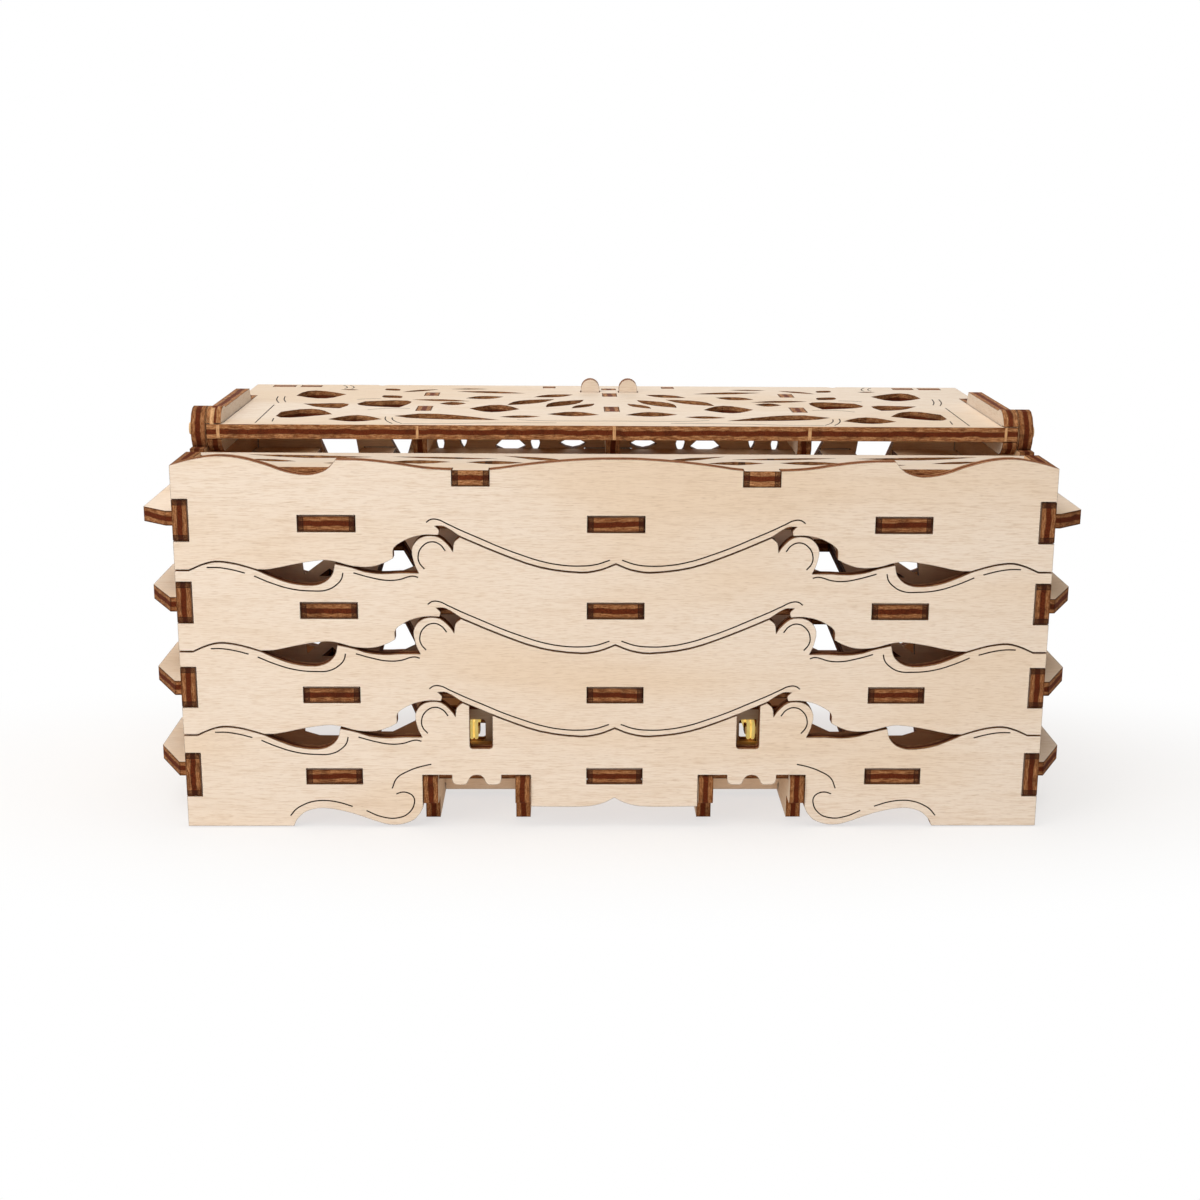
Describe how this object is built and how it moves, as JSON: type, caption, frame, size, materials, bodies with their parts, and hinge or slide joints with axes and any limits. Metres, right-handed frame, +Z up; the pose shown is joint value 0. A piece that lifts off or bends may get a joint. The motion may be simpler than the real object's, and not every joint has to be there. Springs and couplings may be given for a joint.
{
  "type": "wooden card box",
  "caption": "Stepped wooden card box: stacked trays with scrolled seams slide back like stairs, under a hinged lace lid with a finger pull.",
  "frame": {"origin": "on the table plane, under the middle of the box", "axes": "+X along the box to the right as seen from the scrolled front, +Y from the front to the rear, +Z up"},
  "size_m": [0.1912, 0.0958, 0.0825],
  "materials": {
    "panel_plywood": "laser-cut birch plywood with burnt edges, unvarnished",
    "inner_plywood": "laser-cut birch plywood with burnt edges, unvarnished",
    "lid_plywood": "laser-cut birch plywood lace, unvarnished",
    "rail_plywood": "laser-cut birch plywood, smoked by the cut",
    "foot_plywood": "laser-cut birch plywood, burnt edges to the front",
    "hinge_pin": "sanded birch dowel",
    "rubber_band": "thin natural rubber band"
  },
  "bodies": {
    "base": {"tier_4_front_panel": "panel_plywood", "tier_4_rear_panel": "panel_plywood", "tier_4_left_wall": "inner_plywood", "tier_4_right_wall": "inner_plywood", "tier_4_floor": "inner_plywood", "tier_4_left_rail": "rail_plywood", "tier_4_right_rail": "rail_plywood", "front_foot_plate_1": "foot_plywood", "front_foot_plate_2": "foot_plywood", "front_foot_plate_3": "foot_plywood", "front_foot_plate_4": "foot_plywood", "rear_foot_plate_1": "foot_plywood", "rear_foot_plate_2": "foot_plywood", "rear_foot_plate_3": "foot_plywood", "rear_foot_plate_4": "foot_plywood", "front_left_cross_plate": "foot_plywood", "front_right_cross_plate": "foot_plywood", "rear_left_cross_plate": "foot_plywood", "rear_right_cross_plate": "foot_plywood", "left_rubber_band": "rubber_band", "right_rubber_band": "rubber_band"},
    "tier_3": {"tier_3_front_panel": "panel_plywood", "tier_3_rear_panel": "panel_plywood", "tier_3_left_wall": "inner_plywood", "tier_3_right_wall": "inner_plywood", "tier_3_floor": "inner_plywood", "tier_3_left_rail": "rail_plywood", "tier_3_right_rail": "rail_plywood"},
    "tier_2": {"tier_2_front_panel": "panel_plywood", "tier_2_rear_panel": "panel_plywood", "tier_2_left_wall": "inner_plywood", "tier_2_right_wall": "inner_plywood", "tier_2_floor": "inner_plywood", "tier_2_left_rail": "rail_plywood", "tier_2_right_rail": "rail_plywood"},
    "tier_1": {"tier_1_front_panel": "panel_plywood", "tier_1_rear_panel": "panel_plywood", "tier_1_left_wall": "inner_plywood", "tier_1_right_wall": "inner_plywood", "tier_1_floor": "inner_plywood", "tier_1_shelf": "lid_plywood", "left_hinge_pin": "hinge_pin", "right_hinge_pin": "hinge_pin"},
    "lid": {"lid_plate": "lid_plywood", "lid_left_cheek": "lid_plywood", "lid_right_cheek": "lid_plywood", "lid_centre_rib": "lid_plywood", "lid_left_rib": "lid_plywood", "lid_right_rib": "lid_plywood", "lid_skirt": "lid_plywood", "lid_finger_pull": "lid_plywood"}
  },
  "joints": [
    {"name": "tier_3_slide", "type": "slide", "parent": "base", "child": "tier_3", "axis": [0, 1, 0], "range_m": [0, 0.024]},
    {"name": "tier_2_slide", "type": "slide", "parent": "tier_3", "child": "tier_2", "axis": [0, 1, 0], "range_m": [0, 0.024]},
    {"name": "tier_1_slide", "type": "slide", "parent": "tier_2", "child": "tier_1", "axis": [0, 1, 0], "range_m": [0, 0.024]},
    {"name": "lid_hinge", "type": "hinge", "parent": "tier_1", "child": "lid", "pos_m": [0, -0.01865, 0.0778], "axis": [1, 0, 0], "range_deg": [0, 170]}
  ]
}
